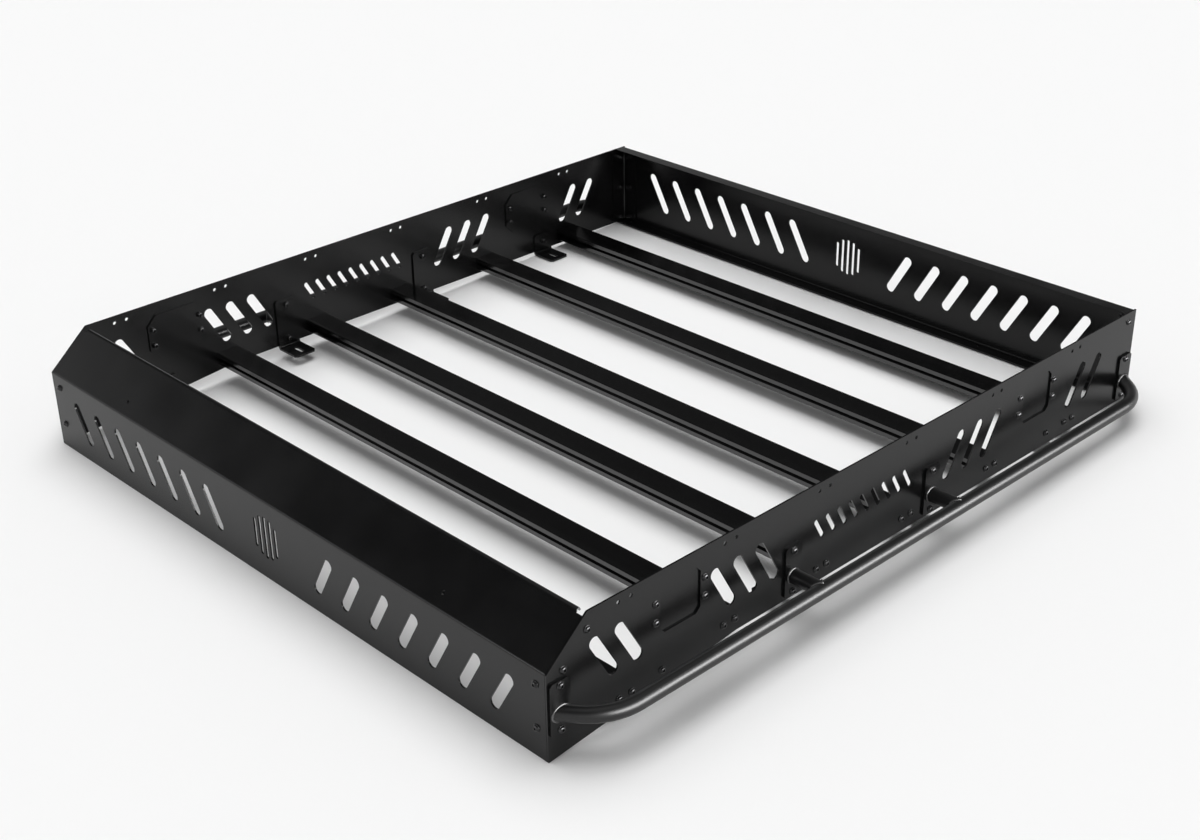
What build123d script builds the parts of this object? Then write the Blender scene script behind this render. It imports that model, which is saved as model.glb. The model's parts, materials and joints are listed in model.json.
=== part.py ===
from build123d import *
import os
from math import hypot, radians, sqrt, tan

# Basket roof rack: slotted sheet walls round six extruded crossbars, with a bent tube rail down each side.
# X runs across the rack, Y from its front to its rear and Z up, all in millimetres.
# Left and right are as seen from in front of the rack. Heights start at the front bottom edge.
# Places along the rack are distances behind the front face, until the finished solids move to the origin.

# Walls
rack_width = 1345.0          # over the outer faces of the side walls
rack_length = 1486.0         # from the front face to the rear face
wall_height = 180.0          # a side wall where its lower edge is level
front_drop = 36.0            # how far the front hangs below that level edge
drop_run = 390.0             # length over which the lower edge climbs to it
sheet = 3.0                  # wall thickness
bend_radius = 3.0            # inside radius of a fold
seam = 0.6                   # gap left between sheets that meet edge to face

# Front fascia
fascia_height = 148.0        # bottom edge to the fold line
slope_run = 79.0             # how far the deflector leans back
lip_depth = 20.0             # flange folded back along the deflector's top edge
lip_notch = (13.0, 9.0)      # corner relief at each end of that edge, across and down the slope
lip_trim = 10.0              # further cut back at the flange's free edge
ear_depth = 30.0             # flange turned down at each end of the deflector
ear_inset = 10.0             # that flange starts this far above the fold and ends at the corner relief
deflector_hole = 7.0         # diameter
deflector_hole_place = (433.0, 25.0)     # from the middle, and up the slope

# Rear wall
rear_flange = 30.0           # folded inward at top and bottom
flange_hole = 7.0            # diameter
flange_hole_inset = 11.0     # behind the outer face
flange_hole_place = 346.0    # inner pair, from the middle
flange_hole_end = 29.5       # outer pair, from the side wall's inner face

# Lightening slots
slot_width = 20.0
slot_lean = 30.0             # degrees from upright
side_slot_length = 90.0
side_slot_height = 127.0     # centre above the front bottom edge
front_group_pitch = 49.5
rear_group_pitch = 53.0
end_group_count = 2          # slots in the group nearest an end
inner_group_count = 3
front_end_group = 109.0      # first slot, behind the front face
front_inner_group = 356.0
rear_inner_group = 556.0     # first slot, ahead of the rear face
rear_end_group = 187.0
slit_size = (9.0, 42.0)      # plain slits in the middle of a side wall
slit_chamfer = 2.5
slit_pitch = 28.0
slit_count = 9
slit_row_lead = 53.0         # middle of the row, ahead of the middle of the rack
slit_height = 133.0
fascia_slot_length = 84.5
fascia_slot_height = 73.0
fascia_slot_pitch = 70.5
fascia_slot_end = 92.3       # outermost slot, from the side wall's inner face
rear_slot_length = 98.0
rear_slot_height = 128.0
rear_slot_pitch = 70.0
rear_slot_end = 114.7        # outermost slot, from the side wall's inner face
slots_per_side = 7
grille_diameter = 78.0       # round group of upright slits in the middle of the fascia and the rear wall
grille_slit = 7.0
grille_chamfer = 2.0
grille_pitch = 14.0
grille_count = 5
fascia_grille_height = 79.0

# Windows in the side walls, each closed from inside by a cover plate
window_size = (84.0, 80.0)
window_chamfer = 9.0
window_height = 147.5
front_window = 264.5         # behind the front face
rear_window = 314.0          # ahead of the rear face
cover_size = (124.0, 90.0)
cover_chamfer = 20.0

# Accessory holes along the top edge, a pair over each crossbar
accessory_hole = 7.0         # diameter
accessory_spacing = 25.4
accessory_depth = 14.0       # below the top edge

# Crossbars
front_bar_places = (151.0, 371.0, 587.0, 806.0)     # behind the front face
rear_bar_places = (441.0, 198.0)         # ahead of the rear face
bar_width = 50.8
bar_height = 25.4
bar_lift = 11.0              # above the wall's lower edge at that place
bar_corner = 1.5
channel_mouth = 6.6          # T-slot in each long side
channel_lip = 2.4
channel_inside = 12.0
channel_depth = 8.0
rib_count = 9                # grooves along the top
rib_pitch = 4.4
rib_groove = (2.0, 0.8)      # width and depth

# Tube rails
tube_diameter = 25.4
rail_offset = 62.0           # wall face to tube axis
rail_height = 77.0
rail_bend_radius = 100.0     # on the axis
rail_bend_angle = 52.0       # degrees
cope_gap = 0.3               # between a stub's shaped end and the rail

# Plates that carry a rail
plate_thickness = 4.0
plate_size = (38.0, 90.0)
plate_corner = 4.0
plate_height = 86.0          # centre
end_plate_inset = 22.0       # centre, from the front or rear face
front_mid_plate = 514.0      # behind the front face
rear_mid_plate = 618.0       # ahead of the rear face

# Feet inside the side walls
foot_sheet = 4.0
foot_width = 50.0
foot_reach = 60.0            # from the wall's inner face
foot_drop = 7.0              # underside below the wall's lower edge
foot_corner = 5.0
foot_slot = (30.0, 9.0)      # overall length across the rack, and width
foot_slot_place = 35.0       # centre, from the wall's inner face
tall_foot_top = 136.0        # feet that share a rail plate's bolts
short_foot_rise = 40.0       # above the wall's lower edge
front_foot_place = 226.0     # behind the front face
rear_foot_place = 269.0      # ahead of the rear face

# Corner angles
angle_leg = 40.0
front_angle_span = (37.0, 130.0)
angle_fold_gap = 0.5         # clear of the rear wall's folds

half_width = rack_width / 2
inner_face = half_width - sheet
wall_top = front_drop + wall_height
bar_places = front_bar_places + tuple(rack_length - place for place in rear_bar_places)
slope_rise = wall_top - fascia_height
slope_length = hypot(slope_run, slope_rise)
to_origin = Location((0, -rack_length / 2, 0))


def lower_edge(place):
    return front_drop * min(place / drop_run, 1.0)


def inset_path(points, distance):
    # The same open path, moved to its right-hand side by a distance, with mitred corners.
    ends = [Vector(*point) for point in points]
    sides = [(b - a).normalized() for a, b in zip(ends, ends[1:])]
    rights = [Vector(side.Y, -side.X) for side in sides]
    moved = [ends[0] + rights[0] * distance]
    for corner, first, second in zip(ends[1:-1], rights, rights[1:]):
        mitre = first + second
        moved.append(corner + mitre * (distance / mitre.dot(first)))
    moved.append(ends[-1] + rights[-1] * distance)
    return [(point.X, point.Y) for point in moved]


def folded_face(points, thickness):
    # Section of a folded sheet: the points run along its outside, with the sheet on their right.
    outside = FilletPolyline(*points, radius=bend_radius + thickness)
    inside = FilletPolyline(*inset_path(points, thickness), radius=bend_radius)
    ends = [Line(outside @ 1, inside @ 1), Line(inside @ 0, outside @ 0)]
    return make_face([outside, inside] + ends)


def leaning_slot(across, up, length, side):
    # A slot whose top leans to the right where side is 1, and to the left where it is -1.
    return Pos(across, up) * Rot(0, 0, 90 - side * slot_lean) * SlotOverall(length, slot_width)


def chamfered_plate(size, chamfer_length):
    plate = Rectangle(*size)
    return chamfer(plate.vertices(), chamfer_length)


def grille(across, up):
    # Upright slits that fill a circle.
    slits = []
    for step in range(grille_count):
        offset = (step - (grille_count - 1) / 2) * grille_pitch
        length = 2 * sqrt((grille_diameter / 2) ** 2 - offset ** 2)
        slits.append(Pos(across + offset, up) * chamfered_plate((grille_slit, length), grille_chamfer))
    return slits


def slot_rows(end, pitch, up, length):
    # Slots each side of the middle, from the outermost one inward, tops leaning outward.
    slots = []
    for step in range(slots_per_side):
        across = inner_face - end - step * pitch
        for side in (-1, 1):
            slots.append(leaning_slot(side * across, up, length, side))
    return slots


def side_wall():
    outline = Polyline(
        (0, 0),
        (0, fascia_height),
        (slope_run, wall_top),
        (rack_length, wall_top),
        (rack_length, front_drop),
        (drop_run, front_drop),
        close=True,
    )
    groups = (
        (front_end_group, end_group_count, front_group_pitch, -1),
        (front_inner_group, inner_group_count, front_group_pitch, -1),
        (rack_length - rear_inner_group, inner_group_count, rear_group_pitch, 1),
        (rack_length - rear_end_group, end_group_count, rear_group_pitch, 1),
    )
    cuts = []
    for first, count, pitch, side in groups:
        for step in range(count):
            place = first + step * pitch
            cuts.append(leaning_slot(place, side_slot_height, side_slot_length, side))
    for step in range(slit_count):
        place = rack_length / 2 - slit_row_lead + (step - (slit_count - 1) / 2) * slit_pitch
        slit = Rot(0, 0, slot_lean) * chamfered_plate(slit_size, slit_chamfer)
        cuts.append(Pos(place, slit_height) * slit)
    for place in (front_window, rack_length - rear_window):
        cuts.append(Pos(place, window_height) * chamfered_plate(window_size, window_chamfer))
    for place in bar_places:
        for side in (-1, 1):
            across = place + side * accessory_spacing / 2
            cuts.append(Pos(across, wall_top - accessory_depth) * Circle(accessory_hole / 2))
    face = make_face(outline) - cuts
    return extrude(Plane.YZ.offset(inner_face) * face, amount=sheet)


def front_fascia():
    reach = inner_face - seam
    lip_back = lip_depth * slope_rise / slope_length
    lip_fall = lip_depth * slope_run / slope_length
    path = [
        (0, 0),
        (0, fascia_height),
        (slope_run, wall_top),
        (slope_run + lip_back, wall_top - lip_fall),
    ]
    section = folded_face(path, sheet)
    body = extrude(Plane.YZ * section, amount=reach, both=True)
    slots = slot_rows(fascia_slot_end, fascia_slot_pitch, fascia_slot_height, fascia_slot_length)
    face_plane = Plane((0, 0, 0), x_dir=(1, 0, 0), z_dir=(0, -1, 0))
    cuts = slots + grille(0, fascia_grille_height)
    body -= extrude(face_plane * Sketch(children=cuts), amount=-2 * sheet)
    slope_normal = (0, -slope_rise / slope_length, slope_run / slope_length)
    slope_plane = Plane((0, 0, fascia_height), x_dir=(1, 0, 0), z_dir=slope_normal)
    hole_across, hole_up = deflector_hole_place
    notch_across, notch_down = lip_notch
    along_slope = (0, slope_run / slope_length, slope_rise / slope_length)
    lip_plane = Plane((0, slope_run, wall_top), x_dir=(1, 0, 0), z_dir=along_slope)
    for side in (-1, 1):
        hole = Pos(side * hole_across, hole_up) * Circle(deflector_hole / 2)
        body -= extrude(slope_plane * hole, amount=sheet, both=True)
        notch = Pos(side * (reach - notch_across / 2), slope_length) * Rectangle(notch_across, 2 * notch_down)
        body -= extrude(slope_plane * notch, amount=lip_depth + sheet, both=True)
        lip_end = side * (reach - notch_across)
        trim = Polyline((lip_end, 0), (lip_end, lip_depth), (lip_end - side * lip_trim, lip_depth), close=True)
        body -= extrude(lip_plane * make_face(trim), amount=2 * sheet, both=True)
        body += deflector_ear(side)
    return body


def deflector_ear(side):
    # Flange under one end of the deflector, flat against the side wall.
    along = (slope_run / slope_length, slope_rise / slope_length)
    down = (along[1], -along[0])

    def slope_point(distance, depth):
        return (
            along[0] * distance + down[0] * depth,
            fascia_height + along[1] * distance + down[1] * depth,
        )

    top = slope_length - lip_notch[1]
    corners = [
        slope_point(ear_inset, sheet / 2),
        slope_point(top, sheet / 2),
        slope_point(top, ear_depth),
        slope_point(ear_inset, ear_depth),
    ]
    face = make_face(Polyline(*corners, close=True))
    start = side * (inner_face - seam)
    return extrude(Plane.YZ.offset(start) * face, amount=-side * sheet)


def rear_wall():
    reach = inner_face - seam
    front_of_flange = rack_length - rear_flange
    path = [
        (front_of_flange, wall_top),
        (rack_length, wall_top),
        (rack_length, front_drop),
        (front_of_flange, front_drop),
    ]
    section = folded_face(path, sheet)
    body = extrude(Plane.YZ * section, amount=reach, both=True)
    slots = slot_rows(rear_slot_end, rear_slot_pitch, rear_slot_height, rear_slot_length)
    face_plane = Plane((0, rack_length, 0), x_dir=(1, 0, 0), z_dir=(0, -1, 0))
    cuts = slots + grille(0, rear_slot_height)
    body -= extrude(face_plane * Sketch(children=cuts), amount=2 * sheet)
    flange_plane = Plane((0, rack_length - flange_hole_inset, front_drop), x_dir=(1, 0, 0), z_dir=(0, 0, 1))
    for place in (flange_hole_place, inner_face - flange_hole_end):
        for side in (-1, 1):
            hole = Pos(side * place, 0) * Circle(flange_hole / 2)
            body -= extrude(flange_plane * hole, amount=2 * sheet)
    return body


def crossbar(place):
    section = chamfered_plate((bar_width, bar_height), bar_corner)
    for side in (-1, 1):
        edge = side * bar_width / 2
        mouth = Pos(edge, 0) * Rectangle(2 * channel_depth, channel_mouth)
        chamber_length = channel_depth - channel_lip
        chamber = Pos(edge - side * (channel_lip + chamber_length / 2), 0)
        section -= mouth
        section -= chamber * Rectangle(chamber_length, channel_inside)
    groove_width, groove_depth = rib_groove
    for step in range(rib_count):
        across = (step - (rib_count - 1) / 2) * rib_pitch
        section -= Pos(across, bar_height / 2) * Rectangle(groove_width, 2 * groove_depth)
    height = lower_edge(place) + bar_lift + bar_height / 2
    return extrude(Plane.YZ * Pos(place, height) * section, amount=inner_face, both=True)


def cover_plate(place):
    face = Pos(place, window_height) * chamfered_plate(cover_size, cover_chamfer)
    return extrude(Plane.YZ.offset(inner_face) * face, amount=-sheet)


def rail_plate(place):
    face = Pos(place, plate_height) * chamfered_plate(plate_size, plate_corner)
    return extrude(Plane.YZ.offset(half_width) * face, amount=plate_thickness)


def side_rail():
    axis = half_width + rail_offset
    slant = tan(radians(rail_bend_angle))
    climb = (rail_offset - plate_thickness) / slant
    behind = tube_diameter          # the ends start inside the plates, and are then cut flush
    root = half_width + plate_thickness - behind
    front_root = end_plate_inset - behind / slant
    front_corner = end_plate_inset + climb
    points = [
        (root, front_root, rail_height),
        (axis, front_corner, rail_height),
        (axis, rack_length - front_corner, rail_height),
        (root, rack_length - front_root, rail_height),
    ]
    path = FilletPolyline(*points, radius=rail_bend_radius)
    tube = sweep(Plane(origin=path @ 0, z_dir=path % 0) * Circle(tube_diameter / 2), path=path)
    return split(tube, bisect_by=Plane.YZ.offset(half_width + plate_thickness), keep=Keep.TOP)


def rail_stub(place):
    start = half_width + plate_thickness
    tip = half_width + rail_offset
    section = Plane.YZ.offset(start) * Pos(place, rail_height) * Circle(tube_diameter / 2)
    stub = extrude(section, amount=tip - start)
    around_rail = Plane.XZ.offset(-place) * Pos(tip, rail_height) * Circle(tube_diameter / 2 + cope_gap)
    return stub - extrude(around_rail, amount=tube_diameter, both=True)


def foot(place, top):
    underside = lower_edge(place) - foot_drop
    tip = inner_face - foot_reach
    path = [(inner_face, top), (inner_face, underside), (tip, underside)]
    section = folded_face(path, foot_sheet)
    body = extrude(Plane.XZ.offset(-place) * section, amount=foot_width / 2, both=True)
    slot_centre = inner_face - foot_slot_place
    slot = Plane.XY.offset(underside) * Pos(slot_centre, place) * SlotOverall(*foot_slot)
    body -= extrude(slot, amount=2 * foot_sheet)
    tab_corners = body.edges().filter_by(Axis.Z).group_by(Axis.X)[0]
    body = chamfer(tab_corners, foot_corner)
    plate_corners = body.edges().filter_by(Axis.X).group_by(Axis.Z)[-1]
    return chamfer(plate_corners, foot_corner)


def corner_angle(face_place, inward, span):
    # Folded angle in an upright corner: one leg on the side wall, one on the wall across the rack.
    low, high = span
    path = [
        (inner_face - angle_leg, face_place),
        (inner_face, face_place),
        (inner_face, face_place + inward * angle_leg),
    ]
    if inward > 0:
        path = path[::-1]
    section = folded_face(path, sheet)
    return extrude(Plane.XY.offset(low) * section, amount=high - low)


def right_side_parts():
    rear_fold = sheet + bend_radius + angle_fold_gap
    rear_angle_span = (front_drop + rear_fold, wall_top - rear_fold)
    second_mid = rack_length - rear_mid_plate
    rear_foot = rack_length - rear_foot_place
    return {
        "side_wall": side_wall(),
        "front_cover_plate": cover_plate(front_window),
        "rear_cover_plate": cover_plate(rack_length - rear_window),
        "front_corner_angle": corner_angle(sheet, 1, front_angle_span),
        "rear_corner_angle": corner_angle(rack_length - sheet, -1, rear_angle_span),
        "side_rail": side_rail(),
        "rail_front_plate": rail_plate(end_plate_inset),
        "rail_mid_plate_1": rail_plate(front_mid_plate),
        "rail_mid_plate_2": rail_plate(second_mid),
        "rail_rear_plate": rail_plate(rack_length - end_plate_inset),
        "rail_stub_1": rail_stub(front_mid_plate),
        "rail_stub_2": rail_stub(second_mid),
        "front_foot": foot(front_foot_place, lower_edge(front_foot_place) + short_foot_rise),
        "mid_foot_1": foot(front_mid_plate, tall_foot_top),
        "mid_foot_2": foot(second_mid, tall_foot_top),
        "rear_foot": foot(rear_foot, lower_edge(rear_foot) + short_foot_rise),
    }


def all_parts():
    parts = {"front_fascia": front_fascia(), "rear_wall": rear_wall()}
    for number, place in enumerate(bar_places, start=1):
        parts[f"crossbar_{number}"] = crossbar(place)
    for name, solid in right_side_parts().items():
        parts[f"right_{name}"] = solid
        parts[f"left_{name}"] = mirror(solid, about=Plane.YZ)
    return parts


os.makedirs("parts", exist_ok=True)
for name, shape in all_parts().items():
    (solid,) = shape.solids()
    export_step(solid.moved(to_origin), f"parts/{name}.step")
    print(name, round(solid.volume / 1000, 1), "cm3")
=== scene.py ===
import json
from math import cos, hypot, pi, radians, sin

import bpy
from mathutils import Euler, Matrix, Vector


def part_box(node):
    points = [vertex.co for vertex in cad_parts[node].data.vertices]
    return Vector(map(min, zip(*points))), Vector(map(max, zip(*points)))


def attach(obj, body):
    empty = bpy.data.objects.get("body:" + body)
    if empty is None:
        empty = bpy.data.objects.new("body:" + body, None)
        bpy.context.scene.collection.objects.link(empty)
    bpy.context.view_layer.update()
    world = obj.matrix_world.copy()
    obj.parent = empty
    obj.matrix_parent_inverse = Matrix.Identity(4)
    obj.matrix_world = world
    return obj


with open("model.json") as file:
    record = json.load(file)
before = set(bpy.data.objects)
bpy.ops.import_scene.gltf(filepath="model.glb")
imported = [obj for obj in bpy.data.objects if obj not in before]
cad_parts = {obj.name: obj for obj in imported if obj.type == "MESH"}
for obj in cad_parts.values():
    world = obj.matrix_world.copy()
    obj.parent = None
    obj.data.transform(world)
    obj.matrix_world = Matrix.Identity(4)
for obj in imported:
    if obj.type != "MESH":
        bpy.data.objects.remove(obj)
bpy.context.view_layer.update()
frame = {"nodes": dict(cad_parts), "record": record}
print("frame loaded:", len(frame["nodes"]), "nodes")

sides = {"left": -1, "right": 1}     # as seen from in front of the rack
barNames = ["crossbar_%d" % number for number in range(1, 7)]


# helpers for working by hand

def deselectAll():
    if bpy.context.object and bpy.context.object.mode != "OBJECT":
        bpy.ops.object.mode_set(mode="OBJECT")
    bpy.ops.object.select_all(action="DESELECT")


def pickOnly(piece):
    deselectAll()
    piece.select_set(True)
    bpy.context.view_layer.objects.active = piece


def centreOf(node):
    low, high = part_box(node)
    return (low + high) / 2


def applyAll(piece):
    pickOnly(piece)
    for modifier in list(piece.modifiers):
        bpy.ops.object.modifier_apply(modifier=modifier.name)


def applyPlace(piece):
    pickOnly(piece)
    bpy.ops.object.transform_apply(location=True, rotation=True, scale=True)


def addCylinder(steps, radius, low, high):
    deselectAll()
    bpy.ops.mesh.primitive_cylinder_add(
        vertices=steps, radius=radius, depth=high - low, location=(0, 0, (low + high) / 2))
    piece = bpy.context.object
    applyPlace(piece)
    return piece


def bevelEdges(piece, width, segments=1):
    edge = piece.modifiers.new("edge", "BEVEL")
    edge.width = width
    edge.segments = segments
    applyAll(piece)


def joinAll(pieces):
    # the first piece takes in the others
    deselectAll()
    for piece in pieces:
        piece.select_set(True)
    bpy.context.view_layer.objects.active = pieces[0]
    bpy.ops.object.join()


def selectFaces(piece, wanted):
    bpy.ops.object.mode_set(mode="EDIT")
    bpy.ops.mesh.select_mode(type="FACE")
    bpy.ops.mesh.select_all(action="DESELECT")
    bpy.ops.object.mode_set(mode="OBJECT")
    for face in piece.data.polygons:
        face.select = wanted(face)
    bpy.ops.object.mode_set(mode="EDIT")


# materials

noiseReach = {
    "spread": (0.3, 0.7),     # the part of a noise that a range of values is spread over
    "tint": (0.35, 0.65),
}


def newMaterial(name):
    material = bpy.data.materials.new(name)
    material.use_nodes = True
    return material, material.node_tree.nodes["Principled BSDF"]


def noiseNode(material, scale, detail, stretch=None):
    nodes, links = material.node_tree.nodes, material.node_tree.links
    noise = nodes.new("ShaderNodeTexNoise")
    noise.inputs["Scale"].default_value = scale
    noise.inputs["Detail"].default_value = detail
    source = nodes.new("ShaderNodeTexCoord").outputs["Object"]
    if stretch:
        mapping = nodes.new("ShaderNodeMapping")
        mapping.inputs["Scale"].default_value = stretch
        links.new(source, mapping.inputs["Vector"])
        source = mapping.outputs["Vector"]
    links.new(source, noise.inputs["Vector"])
    return noise


def spread(material, noise, low, high):
    nodes, links = material.node_tree.nodes, material.node_tree.links
    reach = nodes.new("ShaderNodeMapRange")
    fromLow, fromHigh = noiseReach["spread"]
    reach.inputs["From Min"].default_value = fromLow
    reach.inputs["From Max"].default_value = fromHigh
    reach.inputs["To Min"].default_value = low
    reach.inputs["To Max"].default_value = high
    links.new(noise.outputs["Fac"], reach.inputs["Value"])
    return reach.outputs["Result"]


def tint(material, noise, dark, light):
    nodes, links = material.node_tree.nodes, material.node_tree.links
    ramp = nodes.new("ShaderNodeValToRGB")
    for index, colour in enumerate((dark, light)):
        ramp.color_ramp.elements[index].position = noiseReach["tint"][index]
        ramp.color_ramp.elements[index].color = (*colour, 1)
    links.new(noise.outputs["Fac"], ramp.inputs["Fac"])
    return ramp.outputs["Color"]


def grainBump(material, grain, strength, depth):
    nodes, links = material.node_tree.nodes, material.node_tree.links
    bump = nodes.new("ShaderNodeBump")
    bump.inputs["Strength"].default_value = strength
    bump.inputs["Distance"].default_value = depth
    links.new(grain.outputs["Fac"], bump.inputs["Height"])
    return bump.outputs["Normal"]


def dressShader(material, shader, look, noise, grain):
    links = material.node_tree.links
    links.new(tint(material, noise, look["dark"], look["light"]), shader.inputs["Base Color"])
    links.new(spread(material, noise, *look["roughness"]), shader.inputs["Roughness"])
    links.new(grainBump(material, grain, look["bump"], look["depth"]), shader.inputs["Normal"])


sheetLook = {
    "dark": (0.0032, 0.0032, 0.0034),
    "light": (0.0048, 0.0048, 0.0050),
    "cloudScale": 9.0,
    "cloudDetail": 3.0,
    "roughness": (0.20, 0.26),
    "gloss": 0.30,
    "peelScale": 900.0,       # orange peel
    "peelDetail": 2.0,
    "bump": 0.06,
    "depth": 0.0003,
}
tubeLook = dict(sheetLook, roughness=(0.33, 0.37), gloss=0.45, bump=0.03)
# the bead wears the same black paint as the sheet; its lighter base colour is a painted highlight
# for the glint on the weld
weldPaintedGlintLook = dict(
    sheetLook, dark=(0.03, 0.03, 0.03), light=(0.06, 0.06, 0.06),
    roughness=(0.16, 0.24), gloss=1.0)


def powderCoat(name, look):
    material, shader = newMaterial(name)
    cloud = noiseNode(material, look["cloudScale"], look["cloudDetail"])
    peel = noiseNode(material, look["peelScale"], look["peelDetail"])
    dressShader(material, shader, look, cloud, peel)
    shader.inputs["Specular IOR Level"].default_value = look["gloss"]
    return material


barLook = {
    "dark": (0.0010, 0.0010, 0.0011),
    "light": (0.0020, 0.0020, 0.0021),
    "lineScale": 1.0,
    "lineDetail": 2.0,
    "lineStretch": (3.0, 700.0, 700.0),      # die lines run along the bar
    "roughness": (0.14, 0.18),
    "gloss": 0.8,
    "bump": 0.10,
    "depth": 0.0002,
}


def drawnBlack(name, look):
    material, shader = newMaterial(name)
    lines = noiseNode(material, look["lineScale"], look["lineDetail"], look["lineStretch"])
    dressShader(material, shader, look, lines, lines)
    shader.inputs["Specular IOR Level"].default_value = look["gloss"]
    return material


boltLook = {
    "dark": (0.026, 0.026, 0.0265),
    "light": (0.062, 0.062, 0.063),
    "blotchScale": 160.0,
    "blotchDetail": 3.0,
    "roughness": (0.14, 0.20),
    "metal": 0.85,
    "bump": 0.10,
    "depth": 0.0002,
}


def blackOxide(name, look):
    material, shader = newMaterial(name)
    blotch = noiseNode(material, look["blotchScale"], look["blotchDetail"])
    dressShader(material, shader, look, blotch, blotch)
    shader.inputs["Metallic"].default_value = look["metal"]
    return material


sheetCoat = powderCoat("sheet_coat", sheetLook)
tubeCoat = powderCoat("tube_coat", tubeLook)
weldCoat = powderCoat("weld_coat_painted_glint", weldPaintedGlintLook)
barCoat = drawnBlack("bar_anodised", barLook)
boltOxide = blackOxide("bolt_oxide", boltLook)
slotCoats = {"sheet": sheetCoat, "tube": tubeCoat, "bar": barCoat}
for row in frame["record"]["subparts"]:
    mesh = frame["nodes"][row["node"]].data
    mesh.materials.clear()
    mesh.materials.append(slotCoats[row["material_slot"]])
print("materials set on the nodes")


# bolts: a button head with a hexagon socket, made once along +Z from the origin

headSize = {
    "radius": 0.0058,
    "height": 0.0032,
    "crown": 0.0034,          # radius of the flat on top
    "socket": 0.0023,         # centre to corner
    "socketCorners": 6,
    "socketDepth": 0.0018,
    "washerRadius": 0.0066,
    "washerHeight": 0.0010,
    "bulge": 1.12,            # how far the shoulder rounds out
    "shoulder": (0.2, 0.8),   # share of the height that rounds
    "washerBevel": 0.00025,
    "smoothing": 60.0,        # degrees, so that the crown runs into the shoulder
    "upward": 0.9,            # rise of a normal that counts as the top
    "steps": 24,
}


def makeHead():
    size = headSize
    bottom = size["washerHeight"]
    top = bottom + size["height"]
    head = addCylinder(size["steps"], size["radius"], bottom, top)
    selectFaces(head, lambda face: face.normal.z > size["upward"])
    bpy.ops.transform.resize(value=(size["crown"] / size["radius"],) * 2 + (1,))
    bpy.ops.object.mode_set(mode="OBJECT")
    # dome the shoulder
    selectFaces(head, lambda face: abs(face.normal.z) < size["upward"])
    bpy.ops.mesh.subdivide(number_cuts=1)
    bpy.ops.object.mode_set(mode="OBJECT")
    for vertex in head.data.vertices:
        reach = hypot(vertex.co.x, vertex.co.y)
        rise = vertex.co.z - bottom
        if size["shoulder"][0] < rise / size["height"] < size["shoulder"][1]:
            grow = min(size["bulge"], size["radius"] / reach)
            vertex.co.x *= grow
            vertex.co.y *= grow
    socket = addCylinder(
        size["socketCorners"], size["socket"], top - size["socketDepth"], top + size["socketDepth"])
    cut = head.modifiers.new("socket", "BOOLEAN")
    cut.operation = "DIFFERENCE"
    cut.object = socket
    cut.solver = "EXACT"
    applyAll(head)
    bpy.data.objects.remove(socket)
    washer = addCylinder(size["steps"], size["washerRadius"], 0, bottom)
    bevelEdges(washer, size["washerBevel"])
    joinAll([head, washer])
    bpy.ops.object.shade_smooth_by_angle(angle=radians(size["smoothing"]))
    return head


nutSize = {
    "across": 0.0100,         # flats
    "corners": 6,
    "height": 0.0052,
    "collarHeight": 0.0016,
    "flangeRadius": 0.0066,
    "flangeHeight": 0.0010,
    "threadRadius": 0.0030,
    "threadReach": 0.0030,    # beyond the collar
    "bevel": 0.0006,
    "bevelSteps": 2,
    "inset": 0.0008,          # collar inside the flats
    "collarTaper": 0.86,
    "flangeBevel": 0.0003,
    "smoothing": 35.0,        # degrees
    "upward": 0.99,           # rise of a normal that counts as the top
    "topShare": 0.98,         # least height of the top, as a share
    "steps": 18,
}


def makeNut():
    size = nutSize
    corner = size["across"] / 2 / cos(pi / size["corners"])
    top = size["flangeHeight"] + size["height"]
    nut = addCylinder(size["corners"], corner, size["flangeHeight"], top)
    bevelEdges(nut, size["bevel"], size["bevelSteps"])
    # the collar is extruded from the top face
    lowest = size["topShare"] * top
    selectFaces(nut, lambda face: face.normal.z > size["upward"] and face.center.z > lowest)
    bpy.ops.mesh.inset(thickness=size["inset"])
    bpy.ops.mesh.extrude_region_move(
        TRANSFORM_OT_translate={"value": (0, 0, size["collarHeight"])})
    bpy.ops.transform.resize(value=(size["collarTaper"], size["collarTaper"], 1))
    bpy.ops.object.mode_set(mode="OBJECT")
    flange = addCylinder(size["steps"], size["flangeRadius"], 0, size["flangeHeight"])
    bevelEdges(flange, size["flangeBevel"])
    reach = top + size["collarHeight"] + size["threadReach"]
    thread = addCylinder(size["steps"], size["threadRadius"], top, reach)
    bevelEdges(thread, size["bevel"])
    joinAll([nut, flange, thread])
    bpy.ops.object.shade_smooth_by_angle(angle=radians(size["smoothing"]))
    return nut


headPattern = makeHead()
nutPattern = makeNut()
copyTurn = {"step": 47, "repeat": 60}    # degrees, so that neighbours stop at different turns


def setCopies(pattern, name, spots):
    # one joined mesh of copies, each standing on a point and facing along a direction
    copies = []
    for step, (point, facing) in enumerate(spots):
        deselectAll()
        copy = pattern.copy()
        copy.data = pattern.data.copy()
        bpy.context.scene.collection.objects.link(copy)
        copy.location = point
        copy.rotation_euler = Vector(facing).to_track_quat("Z", "Y").to_euler()
        turn = copyTurn["step"] * step % copyTurn["repeat"]
        copy.rotation_euler.rotate_axis("Z", radians(turn))
        copies.append(copy)
    joinAll(copies)
    joined = copies[0]
    applyPlace(joined)
    joined.name = name
    joined.data.name = name
    joined.data.materials.clear()
    joined.data.materials.append(boltOxide)
    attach(joined, "root")


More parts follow.
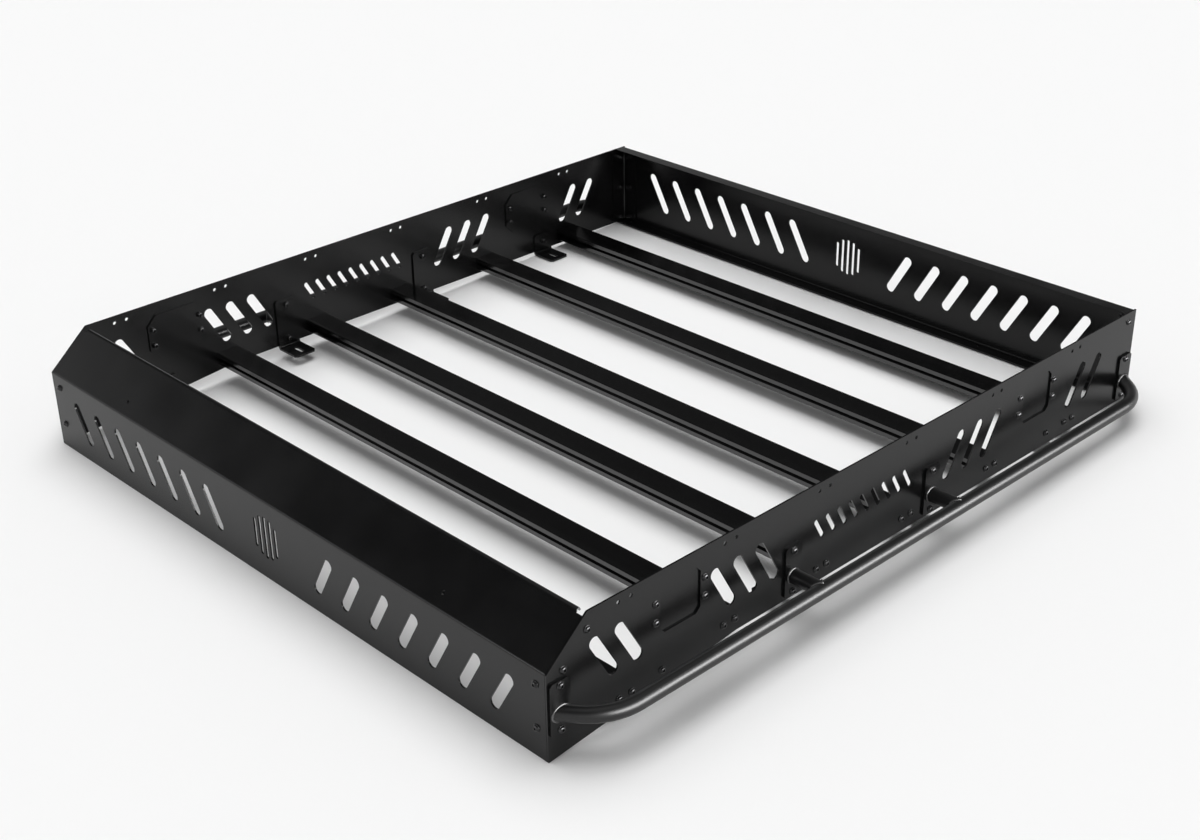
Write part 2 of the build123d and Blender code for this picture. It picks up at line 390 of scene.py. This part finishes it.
boltPlaces = {
    "platePitch": 0.074,              # between a rail plate's two bolts
    "coverReach": (0.0515, 0.016),    # from a cover plate's centre, along and up
    "barReach": 0.0127,               # from a crossbar's centre
    "footDrop": 0.017,                # below a short foot's top edge
    "wallSheet": 0.003,
    "footSheet": 0.004,
    "earSpots": ((0.078, 0.187), (0.031, 0.143)),    # behind the front face, and up
}
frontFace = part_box("front_fascia")[0].y
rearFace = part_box("rear_wall")[1].y
plateHeight = centreOf("right_rail_front_plate").z
platePitch = boltPlaces["platePitch"]
plateRows = (plateHeight - platePitch / 2, plateHeight + platePitch / 2)
topRow = plateRows[1] + platePitch


def sideBolts(word, side):
    # heads on the outside of one side wall, and the nuts behind them
    wallLow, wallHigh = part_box(word + "_side_wall")
    outer = wallHigh.x if side > 0 else wallLow.x
    inner = wallLow.x if side > 0 else wallHigh.x
    out, back = (side, 0, 0), (-side, 0, 0)
    heads, nuts = [], []
    for bar in barNames:
        middle = centreOf(bar)
        for step in (-1, 1):
            heads.append(((outer, middle.y + step * boltPlaces["barReach"], middle.z), out))
    for plate in ("rail_front_plate", "rail_mid_plate_1", "rail_mid_plate_2", "rail_rear_plate"):
        low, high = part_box(word + "_" + plate)
        face = high.x if side > 0 else low.x
        for row in plateRows:
            heads.append(((face, (low.y + high.y) / 2, row), out))
    rearPlate = centreOf(word + "_rail_rear_plate")
    heads.append(((outer, rearPlate.y, topRow), out))
    angleFace = inner - side * boltPlaces["wallSheet"]
    footFace = inner - side * boltPlaces["footSheet"]
    for row in plateRows + (topRow,):
        nuts.append(((angleFace, rearPlate.y, row), back))
    frontPlate = centreOf(word + "_rail_front_plate")
    for row in plateRows:
        nuts.append(((angleFace, frontPlate.y, row), back))
    for foot in ("mid_foot_1", "mid_foot_2"):
        low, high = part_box(word + "_" + foot)
        for row in plateRows:
            nuts.append(((footFace, (low.y + high.y) / 2, row), back))
    for foot in ("front_foot", "rear_foot"):
        low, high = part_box(word + "_" + foot)
        row = high.z - boltPlaces["footDrop"]
        heads.append(((outer, (low.y + high.y) / 2, row), out))
        nuts.append(((footFace, (low.y + high.y) / 2, row), back))
    for cover in ("front_cover_plate", "rear_cover_plate"):
        middle = centreOf(word + "_" + cover)
        along, up = boltPlaces["coverReach"]
        for stepAlong in (-1, 1):
            for stepUp in (-1, 1):
                spot = (middle.y + stepAlong * along, middle.z + stepUp * up)
                heads.append(((outer, *spot), out))
                nuts.append(((angleFace, *spot), back))
    for behind, up in boltPlaces["earSpots"]:
        heads.append(((outer, frontFace + behind, up), out))
        nuts.append(((angleFace, frontFace + behind, up), back))
    setCopies(headPattern, word + "_wall_bolts", heads)
    setCopies(nutPattern, word + "_wall_nuts", nuts)
    return len(heads), len(nuts)


for word, side in sides.items():
    print(word, "wall bolts and nuts:", sideBolts(word, side))


def endBolts(wall, word, face, facing, rows):
    # heads on the fascia or the rear wall, into the corner angles
    behind = 2 * boltPlaces["wallSheet"]
    heads, nuts = [], []
    for angleWord in sides:
        across = centreOf(angleWord + "_" + word + "_corner_angle").x
        for row in rows:
            heads.append(((across, face, row), (0, facing, 0)))
            nuts.append(((across, face - facing * behind, row), (0, -facing, 0)))
    setCopies(headPattern, wall + "_bolts", heads)
    setCopies(nutPattern, wall + "_nuts", nuts)


endBolts("front_fascia", "front", frontFace, -1, plateRows)
endBolts("rear_wall", "rear", rearFace, 1, plateRows + (topRow,))
for pattern in (headPattern, nutPattern):
    bpy.data.objects.remove(pattern)
print("end bolts set")


# weld beads where the tubes meet their plates and each other

weldSize = {
    "bead": 0.0021,           # radius of the bead
    "ripples": 44,
    "rounds": 8,              # points round the bead
    "ripple": 0.00045,
    "bendAngle": 52.0,        # degrees, a rail's end to the wall
}


def rippledRing(radius):
    # a bead round a tube that stands on the wall
    rounds = weldSize["rounds"]
    deselectAll()
    bpy.ops.mesh.primitive_torus_add(
        major_radius=radius, minor_radius=weldSize["bead"],
        major_segments=2 * weldSize["ripples"], minor_segments=rounds)
    ring = bpy.context.object
    bpy.ops.object.mode_set(mode="EDIT")
    bpy.ops.mesh.select_mode(type="VERT")
    bpy.ops.mesh.select_all(action="DESELECT")
    bpy.ops.object.mode_set(mode="OBJECT")
    for index, vertex in enumerate(ring.data.vertices):
        vertex.select = (index // rounds) % 2 == 0
    bpy.ops.object.mode_set(mode="EDIT")
    bpy.ops.transform.shrink_fatten(value=-weldSize["ripple"])
    bpy.ops.object.mode_set(mode="OBJECT")
    bpy.ops.object.shade_smooth()
    ring.rotation_euler = (0, radians(90), 0)
    applyPlace(ring)
    return ring


def finishWeld(ring, name):
    applyPlace(ring)
    ring.name = name
    ring.data.name = name
    ring.data.materials.clear()
    ring.data.materials.append(weldCoat)
    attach(ring, "root")


def railWelds(word, side):
    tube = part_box(word + "_rail_stub_1")
    radius = (tube[1].z - tube[0].z) / 2
    height = (tube[1].z + tube[0].z) / 2
    plateLow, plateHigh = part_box(word + "_rail_front_plate")
    face = plateHigh.x if side > 0 else plateLow.x
    # oblique ends: the ring is longer along the wall
    for end in ("front", "rear"):
        middle = centreOf(word + "_rail_" + end + "_plate")
        ring = rippledRing(radius)
        ring.scale = (1, 1 / sin(radians(weldSize["bendAngle"])), 1)
        ring.location = (face, middle.y, height)
        finishWeld(ring, word + "_rail_" + end + "_weld")
    railLow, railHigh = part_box(word + "_side_rail")
    axis = (railHigh.x if side > 0 else railLow.x) - side * radius
    for number in (1, 2):
        middle = centreOf(word + "_rail_stub_%d" % number)
        ring = rippledRing(radius)
        ring.location = (face, middle.y, height)
        finishWeld(ring, word + "_stub_%d_plate_weld" % number)
        # the far end follows the saddle where two tubes of one size meet
        ring = rippledRing(radius)
        for vertex in ring.data.vertices:
            share = min(1.0, abs(vertex.co.y) / radius)
            vertex.co.x -= side * share * radius
        ring.location = (axis, middle.y, height)
        finishWeld(ring, word + "_stub_%d_rail_weld" % number)


for word, side in sides.items():
    railWelds(word, side)
print("weld beads set")


# floor: it meets the fascia's bottom edge and the undersides of the rear feet

floorSize = {
    "reach": 60.0,
    "gap": 0.0003,
    "colour": (0.90, 0.90, 0.90, 1),
    "roughness": 0.6,
    "gloss": 0.0,
}


def makeFloor():
    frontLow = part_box("front_fascia")[0]
    footLow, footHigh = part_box("right_rear_foot")
    slope = (footLow.z - frontLow.z) / (footHigh.y - frontLow.y)
    deselectAll()
    bpy.ops.mesh.primitive_plane_add(size=floorSize["reach"])
    floor = bpy.context.object
    floor.name = "studio_floor"
    for vertex in floor.data.vertices:
        vertex.co.z = frontLow.z - floorSize["gap"] + slope * (vertex.co.y - frontLow.y)
    material, shader = newMaterial("floor_paper")
    shader.inputs["Base Color"].default_value = floorSize["colour"]
    shader.inputs["Roughness"].default_value = floorSize["roughness"]
    shader.inputs["Specular IOR Level"].default_value = floorSize["gloss"]
    floor.data.materials.append(material)


makeFloor()


# light: a broad soft source overhead, from the left and the rear, of which glossy faces see
# about a quarter; softboxes that only glossy faces see; and a surround that they see pale
# near the floor and dark above

lightPlan = {
    "overhead": {"strength": 1.62, "angle": 62.0, "lean": (8.0, 12.0), "glossy": False},
    "sheen": {"strength": 0.5, "angle": 62.0, "lean": (8.0, 12.0), "glossy": True},
    "strip": {
        "power": 240.0, "size": (4.0, 1.0),
        "place": (2.6, 0.9, 0.80), "target": (0.73, 0.9, 0.08),
    },
    "glint": {
        "power": 6.0, "size": (0.7, 0.7),
        "place": (2.1, 1.6, 2.1), "target": (0.67, 0.0, 0.1),
    },
    "front": {
        "power": 12.0, "size": (1.6, 0.8),
        "place": (-0.6, -3.2, 0.9), "target": (0.0, -0.7, 0.1),
    },
    "surround": {
        "low": 0.36, "high": 0.43, "tilt": 0.15, "pale": 0.9, "dim": 0.05,
        "fill": 0.41, "backdrop": 0.95,
    },
}


def aimAt(lamp, target):
    lamp.rotation_euler = (Vector(target) - lamp.location).to_track_quat("-Z", "Y").to_euler()


def softbox(name, plan):
    data = bpy.data.lights.new(name, "AREA")
    data.shape = "RECTANGLE"
    data.size, data.size_y = plan["size"]
    data.energy = plan["power"]
    lamp = bpy.data.objects.new(name, data)
    bpy.context.scene.collection.objects.link(lamp)
    lamp.location = plan["place"]
    aimAt(lamp, plan["target"])
    lamp.visible_diffuse = False


def broadLight(name, plan):
    data = bpy.data.lights.new(name, "SUN")
    data.energy = plan["strength"]
    data.angle = radians(plan["angle"])
    lamp = bpy.data.objects.new(name, data)
    bpy.context.scene.collection.objects.link(lamp)
    leanX, leanY = plan["lean"]
    lamp.rotation_euler = Euler((radians(-leanX), radians(-leanY), 0))
    lamp.visible_glossy = plan["glossy"]


def makeLights():
    for name in ("overhead", "sheen"):
        broadLight(name, lightPlan[name])
    for name in ("strip", "glint", "front"):
        softbox(name, lightPlan[name])


def makeSurround():
    plan = lightPlan["surround"]
    world = bpy.data.worlds.new("surround")
    bpy.context.scene.world = world
    world.use_nodes = True
    nodes, links = world.node_tree.nodes, world.node_tree.links
    background = nodes["Background"]
    spot = nodes.new("ShaderNodeTexCoord")
    # the pale part stands higher towards the front
    height = nodes.new("ShaderNodeVectorMath")
    height.operation = "DOT_PRODUCT"
    height.inputs[1].default_value = (0, plan["tilt"], 1)
    links.new(spot.outputs["Generated"], height.inputs[0])
    fade = nodes.new("ShaderNodeMapRange")
    fade.interpolation_type = "SMOOTHSTEP"
    fade.inputs["From Min"].default_value = plan["low"]
    fade.inputs["From Max"].default_value = plan["high"]
    fade.inputs["To Min"].default_value = plan["pale"]
    fade.inputs["To Max"].default_value = plan["dim"]
    links.new(height.outputs["Value"], fade.inputs["Value"])
    background.inputs["Color"].default_value = (1, 1, 1, 1)
    # glossy faces see the pale rim, the camera a white backdrop, everything else an even fill
    path = nodes.new("ShaderNodeLightPath")
    glossyPick = nodes.new("ShaderNodeMix")
    glossyPick.data_type = "FLOAT"
    glossyPick.inputs["A"].default_value = plan["fill"]
    links.new(path.outputs["Is Glossy Ray"], glossyPick.inputs["Factor"])
    links.new(fade.outputs["Result"], glossyPick.inputs["B"])
    cameraPick = nodes.new("ShaderNodeMix")
    cameraPick.data_type = "FLOAT"
    cameraPick.inputs["B"].default_value = plan["backdrop"]
    links.new(path.outputs["Is Camera Ray"], cameraPick.inputs["Factor"])
    links.new(glossyPick.outputs["Result"], cameraPick.inputs["A"])
    links.new(cameraPick.outputs["Result"], background.inputs["Strength"])


makeLights()
makeSurround()

cameraPlan = {
    "place": (2.1482, -2.0450, 1.5642),
    "turn": (62.440, 0.789, 45.878),     # degrees
    "lens": 53.14,
    "sensor": 36.0,
}
cameraData = bpy.data.cameras.new("camera")
cameraData.lens = cameraPlan["lens"]
cameraData.sensor_width = cameraPlan["sensor"]
camera = bpy.data.objects.new("camera", cameraData)
camera.location = cameraPlan["place"]
camera.rotation_euler = Euler([radians(angle) for angle in cameraPlan["turn"]])
bpy.context.scene.collection.objects.link(camera)
bpy.context.scene.camera = camera
bpy.context.scene.view_settings.view_transform = "Standard"
print("floor, lights and camera set")
